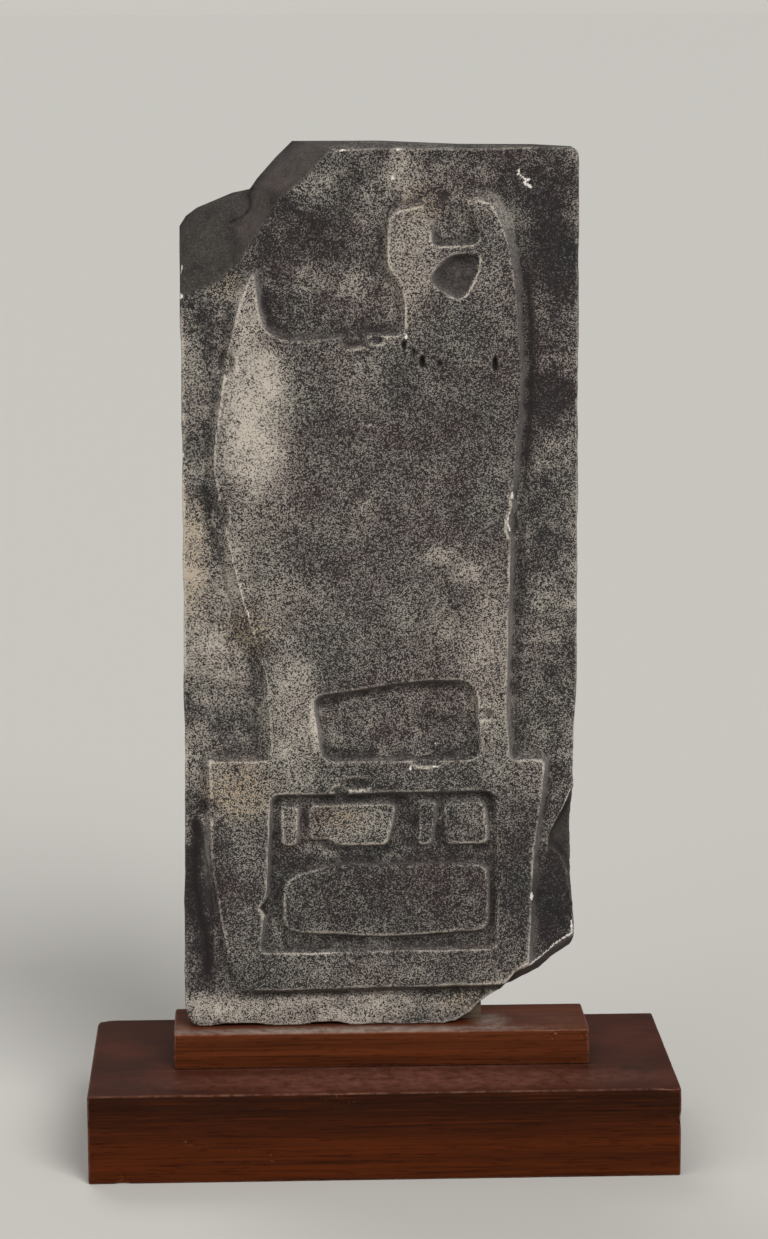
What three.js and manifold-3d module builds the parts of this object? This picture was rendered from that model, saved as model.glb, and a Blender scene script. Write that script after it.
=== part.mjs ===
import * as THREE from 'three';
import { mergeVertices } from 'three/addons/utils/BufferGeometryUtils.js';
import Module from 'manifold-3d';

// A broken marble stele with a horned figure in low relief, standing on a stepped wooden plinth.
// Millimetres, +Z up, the carved face towards -Y, and the origin under the middle of the plinth.

const wasm = await Module();
wasm.setup();

// Driving sizes
const PLINTH = { width: 305, depth: 135, height: 47, ease: 1.2 };
const STEP = { width: 218, depth: 48, height: 19, ease: 0.8 };
const SLAB = { height: 458, thickness: 29, back: 13.5, cornerRadius: 4 };
const GROUND = { depth: 4.5, wall: 3.5 };
const LEG_GAP = { depth: 4.2, wall: 3 };
const PANEL = { depth: 4, wall: 2.6 };
const EYE = { depth: 4.8, wall: 2.8 };
const CROWN_NOTCH = { depth: 3.6, wall: 2.6 };
const SIGN = { below: 1.2, wall: 1.8 };
const PEG = { left: 39.3, width: 14, front: -2.2, depth: 9, height: 20 };
const CLEARANCE = 0.3;
const BURIED = 4;
const OVERHANG = 60;
const CURVE_STEPS = 3;
const EGG_SIDES = 20;
const EGG_RINGS = 14;

// Everything on the slab is drawn as its face is seen: x from the middle, y up from the foot and
// z out of the back. A break slants through the stone, so its points have a second x and y, on the back.
const OUTLINE = {
  leftEdge: [
    [-100.6, 385, -100.9, 419.5], [-100.8, 280], [-101.4, 144], [-102, 96], [-103.3, 30], [-102.7, 12],
    [-101.2, 5], [-98.8, 1.2], [-96, 0],
  ],
  lowerRightBreak: [
    [33.5, 0], [39, 1.4, 39.5, 1.4], [46.5, 5.7, 47, 5], [52, 11, 52, 9], [63, 18.5, 63, 12],
    [71, 27.5, 72, 15.5], [80, 31.5, 85, 23], [86.5, 37, 93, 29.5], [102.1, 47, 102.3, 35],
  ],
  rightEdge: [[100.3, 75], [100.6, 131], [101.9, 174], [102.2, 278], [101.6, 381]],
  upperLeftBreak: [
    [-20, 458, -42.5, 458], [-34.5, 447, -52, 450.5], [-49, 436.5, -62, 441.5], [-52, 427, -64.5, 438],
    [-68, 407, -75, 435.5], [-75, 396, -82, 432.5], [-81.5, 389.3, -92, 428.7], [-91, 387, -98.3, 424],
  ],
};
const FOOT_CHIPS = [{ middle: -72, reach: 17, rise: 1.9 }, { middle: -28, reach: 13, rise: 2 }];
const CHIP_PROFILE = [-1, -0.4, 0.4, 1];

// The figure, from the left ankle up and round to the right one
const FIGURE = {
  leftFlank: [
    [-57, 130], [-56.7, 160], [-58.5, 188], [-72, 234], [-83, 288], [-84, 305], [-79.5, 338],
    [-73, 371.5], [-66.3, 391.2], [-63.5, 394.5],
  ],
  hornInside: [[-62.8, 388], [-61.5, 377], [-58, 367.4], [-52, 362.6], [-45, 361.2]],
  basinEnd: [8.5, 363.3],
  neckCorner: [13.4, 363.5],
  headLeft: [[13.6, 368.5], [13.2, 381], [10.6, 390.7], [5.8, 397.3], [4.6, 405], [5.1, 419]],
  templeCorner: [5.4, 425.4],
  crown: [[11, 426.6], [31, 430.5], [51, 431.8]],
  rightFlank: [
    [56, 430.3], [59.4, 425.7], [65.8, 408], [69, 387], [71.7, 350], [70.7, 320.6], [67.8, 279.4],
    [66.4, 237.8], [65.1, 174.8], [66.2, 153.6], [67.5, 130],
  ],
};

// Polygons with rounded corners: each corner is x, y and the length of edge that its curve takes up
const FRAME_CORNERS = [
  [-88.5, 143.5, 2], [-88.3, 88, 12], [-76.5, 20.5, 8], [77, 22.5, 6], [79.5, 90, 12], [85.5, 142.5, 4],
];
const LEG_GAP_CORNERS = [
  [-35.5, 177.5, 6], [20, 185.8, 16], [50.5, 185.8, 11], [53, 142.5, 7], [-30.5, 142.2, 8],
];
const PANEL_CORNERS = [[-57.5, 125.5, 5], [60.8, 127, 7], [61.3, 41.2, 5], [-64, 40, 5], [-60, 72, 8]];
const EYE_CORNERS = [[23.5, 391.5, 6], [35, 404.8, 6], [52, 405.3, 5], [50, 394, 5], [41.5, 379.5, 7]];
const NOTCH_CORNERS = [
  [26.2, 408.2, 5], [51.2, 408.8, 5], [50.5, 420.5, 5], [45.3, 428, 3], [45.3, 440, 5], [33, 440, 5],
  [27, 424, 6],
];
const SIGNS = [
  [[-51.5, 119, 3.5], [-42.3, 119, 3.5], [-43.8, 98.5, 3.5], [-51.7, 98.5, 3.5]],
  [[-37.5, 119.5, 3], [8.2, 119.5, 4], [3, 98.3, 3], [-22, 98.1, 3], [-26, 101.5, 2], [-36, 101.5, 3]],
  [[20, 120, 2.5], [29, 120.5, 2.5], [26, 98, 2.5], [20, 98, 2.5]],
  [[33.5, 120.5, 3], [54, 120.5, 5], [56, 98.5, 5], [33.8, 98, 4]],
  [[-50.8, 80, 9], [-28, 87, 9], [55.5, 87, 6], [56.5, 52, 7], [4, 48.7, 12], [-50.5, 52, 8]],
];

// Worn hollows and a flaked scar, cut by eggs whose middles are at the level of the ground
const HOLLOWS = [
  { middle: [-94.5, 72], reach: [6.5, 46, 3.4], lean: 0.065 },
  { middle: [91, 62], reach: [10, 32, 2.4], lean: 0 },
  { middle: [102.5, 99], reach: [14.5, 28, 13], lean: 0 },
];

const marble = new THREE.MeshStandardMaterial({ color: 0x5d5651, roughness: 0.85, flatShading: true });
const plinthWood = new THREE.MeshStandardMaterial({ color: 0x5a2c1a, roughness: 0.45 });
const stepWood = new THREE.MeshStandardMaterial({ color: 0x632c1b, roughness: 0.45 });
const pegWood = new THREE.MeshStandardMaterial({ color: 0x4a3a2e, roughness: 0.6 });

function solidOf(geometry) {
  const bare = geometry.clone();
  bare.deleteAttribute('normal');
  bare.deleteAttribute('uv');
  const merged = mergeVertices(bare);
  const vertProperties = merged.attributes.position.array;
  const triVerts = Uint32Array.from(merged.index.array);
  return new wasm.Manifold(new wasm.Mesh({ numProp: 3, vertProperties, triVerts }));
}

function geometryOf(solid) {
  const { vertProperties, triVerts } = solid.getMesh();
  const geometry = new THREE.BufferGeometry();
  geometry.setAttribute('position', new THREE.BufferAttribute(vertProperties, 3));
  geometry.setIndex(new THREE.BufferAttribute(triVerts, 1));
  geometry.computeVertexNormals();
  return geometry;
}

function named(name, geometry, material) {
  const mesh = new THREE.Mesh(geometry, material);
  mesh.name = name;
  return mesh;
}

function vectors(points) {
  return points.map(([x, y]) => new THREE.Vector2(x, y));
}

function roundedPolygon(corners) {
  const shape = new THREE.Shape();
  corners.forEach(([x, y, cut], i) => {
    const corner = new THREE.Vector2(x, y);
    const before = new THREE.Vector2(...corners.at(i - 1));
    const after = new THREE.Vector2(...corners[(i + 1) % corners.length]);
    const start = before.sub(corner).setLength(cut).add(corner);
    const end = after.sub(corner).setLength(cut).add(corner);
    if (i === 0) shape.moveTo(start.x, start.y);
    else shape.lineTo(start.x, start.y);
    shape.quadraticCurveTo(x, y, end.x, end.y);
  });
  shape.closePath();
  return shape;
}

// Stands up to a height with this outline, and its walls spread outwards as they go down.
function raised(shape, top, drop, wall) {
  const geometry = new THREE.ExtrudeGeometry(shape, {
    depth: BURIED, bevelThickness: drop, bevelSize: wall, bevelSegments: 1, curveSegments: CURVE_STEPS,
  });
  return solidOf(geometry.translate(0, 0, top - drop - BURIED));
}

// Cuts a pocket with this outline at the face, whose walls close in towards the floor.
function sunk(shape, { depth, wall }) {
  const geometry = new THREE.ExtrudeGeometry(shape, {
    depth: BURIED, bevelThickness: depth, bevelSize: wall, bevelOffset: -wall, bevelSegments: 1,
    curveSegments: CURVE_STEPS,
  });
  return solidOf(geometry.translate(0, 0, SLAB.thickness));
}

function egg({ middle, reach, lean }, height) {
  const geometry = new THREE.SphereGeometry(1, EGG_SIDES, EGG_RINGS).rotateX(Math.PI / 2);
  geometry.scale(...reach);
  geometry.rotateZ(lean);
  return solidOf(geometry.translate(...middle, height));
}

// A closed skin between two outlines with as many points as each other.
function loft(lower, upper, top) {
  const count = lower.length;
  const positions = [];
  lower.forEach(([x, y]) => positions.push(x, y, 0));
  upper.forEach(([x, y]) => positions.push(x, y, top));
  const index = [];
  for (const [a, b, c] of THREE.ShapeUtils.triangulateShape(vectors(lower), [])) {
    index.push(c, b, a);
  }
  for (const [a, b, c] of THREE.ShapeUtils.triangulateShape(vectors(upper), [])) {
    index.push(a + count, b + count, c + count);
  }
  for (let i = 0; i < count; i++) {
    const next = (i + 1) % count;
    index.push(i, next, next + count, i, next + count, i + count);
  }
  const geometry = new THREE.BufferGeometry();
  geometry.setAttribute('position', new THREE.Float32BufferAttribute(positions, 3));
  geometry.setIndex(index);
  return geometry;
}

// The broken block: chips along the front of the foot, a round upper corner and two slanting breaks.
function brokenBlock() {
  const foot = FOOT_CHIPS.flatMap(({ middle, reach, rise }) => CHIP_PROFILE.map((at) => {
    const x = middle + at * reach;
    return [x, rise * Math.cos(at * Math.PI / 2), x, 0];
  }));
  const cornerX = OUTLINE.rightEdge.at(-1)[0];
  const corner = Array.from({ length: CURVE_STEPS + 1 }, (_, step) => {
    const angle = step / CURVE_STEPS * Math.PI / 2;
    const x = cornerX - SLAB.cornerRadius * (1 - Math.cos(angle));
    return [x, SLAB.height - SLAB.cornerRadius * (1 - Math.sin(angle))];
  });
  const points = [
    ...OUTLINE.leftEdge, ...foot, ...OUTLINE.lowerRightBreak, ...OUTLINE.rightEdge, ...corner,
    ...OUTLINE.upperLeftBreak,
  ];
  const onward = GROUND.depth / (SLAB.thickness - GROUND.depth);
  const back = points.map(([x, y, backX = x, backY = y]) => [backX, backY]);
  const face = points.map(([x, y, backX = x, backY = y]) => [
    x + (x - backX) * onward,
    y + (y - backY) * onward,
  ]);
  return solidOf(loft(back, face, SLAB.thickness));
}

function figureShape() {
  const shape = new THREE.Shape();
  shape.moveTo(...FIGURE.leftFlank[0]);
  shape.splineThru(vectors(FIGURE.leftFlank.slice(1)));
  shape.splineThru(vectors(FIGURE.hornInside));
  shape.lineTo(...FIGURE.basinEnd);
  shape.quadraticCurveTo(...FIGURE.neckCorner, ...FIGURE.headLeft[0]);
  shape.splineThru(vectors(FIGURE.headLeft.slice(1)));
  shape.quadraticCurveTo(...FIGURE.templeCorner, ...FIGURE.crown[0]);
  shape.splineThru(vectors(FIGURE.crown.slice(1)));
  shape.splineThru(vectors(FIGURE.rightFlank));
  shape.closePath();
  return shape;
}

function carvedSlab() {
  const groundHeight = SLAB.thickness - GROUND.depth;
  const plate = solidOf(new THREE.BoxGeometry(
    SLAB.height, SLAB.height + 2 * OVERHANG, groundHeight,
  ).translate(0, SLAB.height / 2, groundHeight / 2));
  let stone = plate.add(raised(figureShape(), SLAB.thickness, GROUND.depth, GROUND.wall));
  stone = stone.add(raised(roundedPolygon(FRAME_CORNERS), SLAB.thickness, GROUND.depth, GROUND.wall));
  stone = stone.subtract(sunk(roundedPolygon(LEG_GAP_CORNERS), LEG_GAP));
  stone = stone.subtract(sunk(roundedPolygon(PANEL_CORNERS), PANEL));
  stone = stone.subtract(sunk(roundedPolygon(EYE_CORNERS), EYE));
  stone = stone.subtract(sunk(roundedPolygon(NOTCH_CORNERS), CROWN_NOTCH));
  const signTop = SLAB.thickness - SIGN.below;
  for (const corners of SIGNS) {
    stone = stone.add(raised(roundedPolygon(corners), signTop, PANEL.depth - SIGN.below, SIGN.wall));
  }
  for (const hollow of HOLLOWS) {
    stone = stone.subtract(egg(hollow, groundHeight));
  }
  return geometryOf(brokenBlock().intersect(stone));
}

// A planed board with its edges and corners eased, its underside on z = 0
function board({ width, depth, height, ease }) {
  const x = width / 2 - ease;
  const y = depth / 2 - ease;
  const outline = roundedPolygon([[-x, -y, ease], [x, -y, ease], [x, y, ease], [-x, y, ease]]);
  const geometry = new THREE.ExtrudeGeometry(outline, {
    depth: height - 2 * ease, bevelThickness: ease, bevelSize: ease, bevelSegments: 2,
    curveSegments: CURVE_STEPS,
  });
  return geometry.translate(0, 0, ease);
}

// The peg props the broken corner: its top follows the underside of the stone.
function propPeg(slabGeometry) {
  const block = new THREE.BoxGeometry(PEG.width, PEG.depth, PEG.height);
  block.translate(PEG.left + PEG.width / 2, PEG.front + PEG.depth / 2, PEG.height / 2);
  const stoneAbove = slabGeometry.clone().rotateX(Math.PI / 2).translate(0, SLAB.back, 0);
  return geometryOf(solidOf(block).subtract(solidOf(stoneAbove)));
}

const stepTop = PLINTH.height + STEP.height;
const stele = new THREE.Group();

const lowerPlinth = named('lower_plinth', board(PLINTH), plinthWood);
stele.add(lowerPlinth);

const upperPlinth = named('upper_plinth', board(STEP), stepWood);
upperPlinth.position.z = PLINTH.height;
stele.add(upperPlinth);

const slab = named('stele_slab', carvedSlab(), marble);
slab.rotation.x = Math.PI / 2;
slab.position.set(0, SLAB.back, stepTop + CLEARANCE);
stele.add(slab);

const peg = named('support_peg', propPeg(slab.geometry), pegWood);
peg.position.z = stepTop;
stele.add(peg);

export default stele;
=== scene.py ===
"""A broken marble stele on a stepped wooden plinth: the looks of its four pieces, over their solids."""

import math

import bmesh
import bpy
import numpy as np
from mathutils import Matrix, Vector, noise


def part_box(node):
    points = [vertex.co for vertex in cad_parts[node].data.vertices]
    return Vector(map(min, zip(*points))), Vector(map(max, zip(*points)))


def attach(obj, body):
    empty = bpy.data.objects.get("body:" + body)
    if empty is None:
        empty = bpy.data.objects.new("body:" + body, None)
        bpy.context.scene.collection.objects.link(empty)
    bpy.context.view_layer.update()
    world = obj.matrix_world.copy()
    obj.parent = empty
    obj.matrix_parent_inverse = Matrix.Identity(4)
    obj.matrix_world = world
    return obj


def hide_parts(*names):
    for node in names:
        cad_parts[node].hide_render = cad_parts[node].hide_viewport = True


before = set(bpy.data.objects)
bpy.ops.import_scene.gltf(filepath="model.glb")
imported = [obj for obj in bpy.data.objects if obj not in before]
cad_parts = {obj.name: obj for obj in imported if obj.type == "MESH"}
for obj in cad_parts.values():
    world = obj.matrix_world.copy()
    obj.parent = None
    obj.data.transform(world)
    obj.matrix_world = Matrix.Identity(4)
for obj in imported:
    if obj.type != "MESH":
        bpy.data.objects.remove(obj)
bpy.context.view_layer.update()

MM = 0.001

# Where the photograph was taken from, in mm and degrees, and its lens on a 36 mm sensor
EYE_POINT = (-63.0, -1754.4, 594.3)
EYE_TURN = -2.141
EYE_TILT = -10.116
EYE_ROLL = 0.172
LENS = 99.73
SENSOR = 36.0

# The slab's own places are across from its middle, up from its foot and in from its face, in mm

# The cells of its fine skin, and how many triangles are left when it is thinned
SKIN = 0.8
SLAB_TRIANGLES = 186_000
# How readily a plain part is thinned, on the carved side and on the sides and back
PLAIN_FACE = 0.3
PLAIN_BACK = 1.0
# Points of a solid's loose triangles that are nearer than this are one
MERGE = 0.001
# How far in the ground round the figure is, and how far carved walls, carved stone and the finely marked
# side go at most
GROUND_DEPTH = 4.5
WALL_DEPTH = 5.5
BREAK_DEPTH = 5.6
FINE_DEPTH = 9.0
# The gap between the weathered foot and the step under it
FOOT_GAP = 0.05

# Zone of the lower right break: across from and to, up from and to
LOWER_BREAK = (28, 110, -5, 62)
# The flake on the right edge: the line that it has split along, upwards, across and up
FLAKE_EDGE = [
    (101.3, 56), (100.1, 68.4), (97.9, 80.6), (94.6, 89.5), (89.7, 94), (87.2, 96.5), (88.1, 100.6),
    (91.8, 107.2), (95.5, 114.9), (99.7, 125.8), (101.3, 132.3),
]
# Heights between which the stone beside the flake changes from the hollow's depth to the ground's
FLAKE_TIP = (93, 97)
HOLLOW_DEPTH = 2.4
# How far that stone is brought forward at most, how far it reaches left, and where the flake's face starts
FLAKE_REACH = 14.0
FLAKE_MARGIN = 4
FLAKE_DEPTH = 4.7
# Foot of the upper left break, from the left edge to the top: across and up
BREAK_LINE = [
    (-104, 382), (-80, 391), (-69, 404), (-62, 414), (-52, 431), (-35, 445), (-24, 457), (-20, 470),
]
# Where a break begins and where it is complete, past the edge of the lower two and above the upper foot
EDGE_BLEND = (-0.4, 0.6)
BREAK_BLEND = (-1.5, 2.5)

# Bites out of carved edges, dips and swells: across, up, half width, half height, and a depth, which is
# below 0 for a swell
DENTS = {
    "horn flank bite": (-77.5, 350, 4.5, 6.5, 2.4),
    "waist flank bite": (-81, 272, 3.5, 7, 1.8),
    "right flank bite": (68.5, 266, 3, 7, 2.2),
    "right flank nick": (69, 281, 2, 4, 1.4),
    "basin edge bite": (-13, 361, 8, 3.4, 2.4),
    "basin edge nick": (-1, 361.5, 4, 2, 1.4),
    "chest scar": (-5, 321.5, 4.5, 2.8, 0.8),
    "chest scar above": (-12, 352, 7, 2.2, 0.5),
    "breast line": (43, 349.5, 10, 0.9, 0.25),
    "ankle wear": (-60, 201, 6, 5, 1.5),
    "shin wear": (-46.7, 214.5, 4, 8, 0.9),
    "panel top chip": (-13, 131, 8, 3, 1.4),
    "panel top nick": (-21, 127, 4, 2.6, 1.6),
    "leg gap bite": (54.5, 167, 5, 3, 1.1),
    "leg gap foot chip": (24, 142.5, 7, 2.6, 1.7),
    "cushion notch": (11.5, 86, 2.4, 3, 0.6),
    "frame side wear": (-90, 118, 5, 6, 1.6),
    "belly scar": (-8, 281, 4, 2, 0.5),
    "belly lump": (33, 250, 6, 5, -0.5),
    "right ground lump": (90, 305, 9, 5, -1),
    "right ground knob": (84, 296, 5, 3, -0.8),
    "right ground hump": (90, 226, 8, 7, -0.9),
    "right ground dip": (90, 330, 12, 12, 1),
    "left ground hump": (-91, 196, 8, 10, -0.7),
    "left ground dip": (-93, 276, 6, 9, 0.9),
    "basin hump": (-13, 389, 10, 6, -0.8),
    "basin dip": (-36, 408, 16, 10, 0.8),
    "crown knob": (27, 429, 4, 3, 0.9),
}

# Wedge-shaped bites out of the left side of a sunk part: across and up of the tip, reach to the right,
# half height at the mouth, and the level below the face that they go down to
BITES = {
    "panel side": (-63.8, 64.8, 5.4, 7, 3),
}
# Small pits, painted dark as shade: across, up, half width, half height, depth
PITS = {
    "neck": (12.6, 358.8, 1, 2.2, 2),
    "breast upper": (17.6, 355.4, 0.8, 1.7, 1.6),
    "breast": (21.8, 350.2, 1.3, 3, 2.8),
    "breast round": (30.7, 349.3, 1, 1.2, 1.6),
    "breast right": (59, 349, 1.2, 3.8, 2.8),
}
# Cracks and scratches: half width, depth, then the path across and up
CRACKS = {
    "break ledge": (
        1.1, 1.2, [(-63.8, 437), (-65.7, 433.8), (-65.1, 431.2), (-64.6, 428.5), (-66.5, 425.2)],
    ),
    "break ledge end": (0.7, 0.5, [(-66.5, 425.2), (-69.6, 422.9), (-72.4, 421.5), (-75.3, 420.1)]),
    "break tick": (0.6, 0.2, [(-81.5, 424.8), (-81, 421.7)]),
    "breast scratch": (0.5, 0.4, [(63.8, 354), (66.6, 357.6)]),
}

# Carved edges worn to a longer slope: its reach, then a path SLOPE_INSET inside the top of the edge,
# across and up
SLOPE_INSET = 1
WORN_SLOPES = {
    "right shoulder": (6.5, [(50, 430.8), (55.6, 429.3), (58.4, 425.3), (61.9, 416.8)]),
    "right arm": (4.8, [(61.9, 416.8), (64.8, 407.8), (68, 387)]),
    "left waist": (6.5, [(-82, 288), (-77.3, 262.8), (-71, 234), (-63.7, 209.4)]),
    "left leg": (7, [(-63.7, 209.4), (-57.5, 188), (-55.7, 160), (-56, 147)]),
}
# Dirt and painted shade along the foot of a carved edge and down the groove: half width, amount, then the
# path across and up
DIRT_AND_SHADE_LINES = {
    "right shoulder foot": (3.2, 0.6, [(63, 437.5), (67.5, 431), (71, 421), (73.5, 408), (75.5, 394)]),
    "right arm foot": (2.8, 1.15, [(75.5, 394), (77.6, 372), (78.2, 350), (77.6, 328), (75.5, 300)]),
    "right waist foot": (2.6, 0.75, [(75.5, 300), (73.2, 265), (72, 230), (70.6, 190), (71, 152)]),
    "left foot": (3, 0.2, [(-66, 176), (-63.5, 160), (-63.5, 149)]),
    "groove": (2.6, 1.2, [(-96.3, 110), (-96.4, 100), (-97, 87), (-96.7, 75.6), (-94.7, 62.3)]),
    "groove foot": (2.6, 1.25, [(-94.7, 62.3), (-91.7, 49), (-90.8, 38), (-91.4, 30)]),
    "hollow rim": (2.6, 0.6, [(86, 95), (89, 92.5), (93.5, 87.5), (96.5, 80), (98.6, 69)]),
}
# Edges rubbed more (above 0) or less than the others: half width, amount, then the path across and up
RUBBED_LINES = {
    "right arm": (2, -0.4, [(66, 408), (69, 387), (71.7, 350), (70.7, 320), (68.2, 290)]),
    "frame foot": (0.9, 0.7, [(76.8, 33.6), (70.9, 28.9), (65.5, 24.3), (58, 22.8), (47, 22), (30, 21.7)]),
    "groove rim": (0.8, 0.5, [(-99.6, 112), (-100, 100), (-100.4, 92)]),
    "left arris": (1.3, 0.55, [(-100.9, 292), (-101.1, 250), (-101.3, 222), (-101.4, 190)]),
    "leg gap left": (1.4, 0.5, [(-36.2, 174), (-34.8, 160), (-33.4, 150)]),
    "basin edge": (3, -0.6, [(-22, 358), (-2, 359.5)]),
    "notch right": (1.8, -0.4, [(44.2, 433), (50.8, 415)]),
    "panel right": (2.2, -0.45, [(61, 123), (61.3, 43)]),
    "panel foot": (1.6, -0.2, [(-20, 40.5), (58, 40.5)]),
    "cushion top": (1.8, -0.3, [(-47, 77), (-39, 84.5), (12, 87.5), (55, 87.5)]),
    "cushion right": (1.8, -0.35, [(56.5, 85), (56.5, 56)]),
    "first sign": (1.6, -0.45, [(-54, 98), (-54, 118.5), (-46, 118.5)]),
    "long sign top": (1.6, -0.3, [(-41, 118.5), (4, 118.5)]),
    "narrow sign": (1.6, -0.45, [(18.3, 98), (18.3, 121), (26, 121)]),
    "last sign": (1.6, -0.4, [(32, 99), (32, 120), (50, 120)]),
}
# The smooth side of the groove: half width, amount, then the path across and up
GROOVE_SIDE = (2.4, 0.9, [(-90.5, 109), (-90.8, 97.6), (-90.7, 86.6), (-90, 75.5), (-88.3, 64.5)])
# Paler facets of the breaks: half width, amount, then the path across and up
FACETS = {
    "upper": (7, 0.6, [(-36, 457), (-47, 445), (-56.5, 434.5), (-62, 426), (-65, 419)]),
    "lower right": (14, 1, [(60, 14), (84, 30), (100, 42)]),
    "flake": (7, 0.2, [(91, 99), (96, 93)]),
}
# Parts worn soft all over: across, up, half width, half height
SOFT_PARTS = {
    "groove": (-96.5, 72, 7.5, 50),
    "frame corner": (-77, 27, 13, 13),
    "crown": (28, 428, 6, 11),
    "hollow": (90, 62, 9, 32),
}
# How much higher the top is at the back than along the face, at its right and its left end
TOP_RISE = (0.5, 3.0)
# Where that begins and where it is complete: left of the middle (right is below 0), up, and inward
TOP_SPAN = (-90, 20)
TOP_BAND = (440, 457)
TOP_DEPTH = (4, 24)

# A seed moves a pattern of random humps by SEED_STEP times their size
SEED_STEP = 17.3
# Humps as height, size and seed: the skin's, its waver and the stray of the stains, all in mm
FACE_HUMPS = [(0.14, 34, 1), (0.05, 4, 2)]
GROUND_HUMPS = [(0.46, 19, 3), (0.36, 6.5, 4)]
BREAK_HUMPS = [(0.6, 15, 5), (0.25, 4, 6)]
SIDE_HUMPS = [(0.5, 24, 7), (0.22, 7, 8)]
WAVER_ACROSS = [(0.45, 22, 9), (0.22, 8, 10)]
WAVER_UP = [(0.45, 22, 11), (0.22, 8, 12)]
STRAY_ACROSS = [(2.8, 13, 21)]
STRAY_UP = [(3.5, 13, 22)]
# The changes of the rubbing, the clouds on the ground and the wear of the boards' arrises, with shares as
# heights
RUB_CHANGE = [(0.8, 20, 23)]
GROUND_CLOUDS = [(0.2, 6, 24), (0.12, 14, 25)]
ARRIS_CHANGE = [(1, 9, 1)]

# Rounds of evening: to ease the foot of a wall, to wear a part soft, and to find edges and hollows
EASE_ROUNDS = 24
SOFT_ROUNDS = 60
FINE_ROUNDS = 2
BROAD_ROUNDS = 40
# A pair is where a change begins and where it is complete. Sags and levels below the face are in mm
EASED_SAG = (0.05, 0.5)
CARVED_LEVEL = (0.8, 1.8)
GROUND_LEVEL = (1.5, 3.6)
CLOUD_LEVEL = (2, 3.6)
EYE_LEVEL = (1, 2.5)
# Parts of a normal: turned to the front, for the wear and for the marks, then back, far back and down
FACE_TURN = (0.2, 0.6)
MARKED_TURN = (-0.1, 0.3)
BACKWARD = 0.3
FAR_BACKWARD = 0.6
DOWNWARD = -0.25
# Carved walls: how far they are turned from the face, and to the right to be smooth and to be painted paler
# as if lit from the right, and how much less smooth they are where they look up
WALL_TURN = (0.06, 0.22)
WALL_SIDE = (-0.35, 0.05)
LIT_SIDE = (0.1, 0.5)
SKYWARD_LOSS = 0.5

# Rubbed edges: how far they stand out in mm, and from which share of that they show
RUBBED_BULGE = 0.05
RUB_START = 0.4
# How much of the rubbing is left, at least and on average
RUB_LEAST = 0.2
RUB_SHARE = 0.8
# No rubbing beside the upper break, and less along the slab's own edges and round pits and cracks
BREAK_MARGIN = (-9, -2)
SIDE_MARGIN = (95, 99)
TOP_MARGIN = (450, 454)
OUTER_LOSS = 0.6
PIT_MARGIN = 2.5
CRACK_MARGIN = 2
# Edges that look down: how fast that counts, the rubbing below the face and what looking down adds to it,
# and what it takes from the rubbing on the face
DOWNWARD_GAIN = 3
SUNK_RUB = 0.25
SUNK_GAIN = 0.55
FACE_LOSS = 0.5

# Painted shade in hollows: how deep a hollow is in mm to be fully dark, and from which share of that the
# shade shows
SHADED_HOLLOW = 0.45
HOLLOW_START = 0.25
# How much of it worn slopes lose, and how far round them
SLOPE_SHADE_LOSS = 0.7
SLOPE_MARGIN = 3
# Painted shade in pits: how strong it is, its limit, and how far it goes past their half width and half
# height
PIT_SHADE = 1.8
MOST_PIT_SHADE = 1.25
PIT_RIM = (0.3, 0.4)
# Painted shade in cracks: how strong it is for each mm of depth
CRACK_SHADE = 2
# Soot, and deeper painted shade in the groove, on the darkest stains: how fast it comes, from which share,
# and its limit
SOOT_AND_SHADE_GAIN = 1.2
SOOT_AND_SHADE_START = 0.3
MOST_SOOT_AND_SHADE = 0.3
# The stain of the sides and the back
BACK_STAIN = -0.04
# What the skin keeps for the material
STONE_MARKS = ("broken", "worn", "wall", "lit_and_smooth", "facet", "stains_and_shade", "hollow", "ochre", "fresh")
# Marks stronger than this stay crisp when the skin is thinned
CRISP = 0.05

# The smooth floor of the eye: across, up, half width, half height
EYE_FLOOR = (39, 394, 15, 15)
# How much it is darkened, and how much of the other darkening it loses
EYE_DARKENING = 0.38
EYE_LESS_DARKENING = 0.5
# Where painted shade darkens it more, at its left and top: across, up, half width, half height, amount
EYE_SHADE = {
    "left": (31, 394, 6, 8, 0.3),
    "top": (43, 402, 9, 4, 0.35),
}

# Fresh white chips are on stone that is turned to the front, as far in as OPEN_DEPTH, and elsewhere as far
# in as CHIP_DEPTH
OPEN_FACE = -0.5
OPEN_DEPTH = (18, 22)
CHIP_DEPTH = (6, 8)
# Their places: across, up, half width, half height
FRESH_CHIPS = {
    "neck chip": (13.7, 363.4, 1, 1.6),
    "crown speck": (7, 443, 1.1, 1.1),
    "right flank chip": (67.9, 281, 0.9, 2.4),
    "frame side chip": (79, 69.5, 1, 2.4),
    "leg gap speck": (28.5, 139.6, 1.8, 0.7),
    "leg gap line": (15.6, 139, 0.8, 1.8),
    "leg gap inner speck": (29, 150.5, 0.7, 0.9),
    "left edge chip": (-100.6, 398, 1.3, 2.4),
    "left edge nick": (-100.4, 384, 1.2, 1.8),
    "left edge low nick": (-100.8, 303, 1.1, 1.8),
    "top chip": (-18, 457, 1.7, 0.7),
    "top chip right": (10, 457.2, 1.5, 0.6),
}
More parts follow.
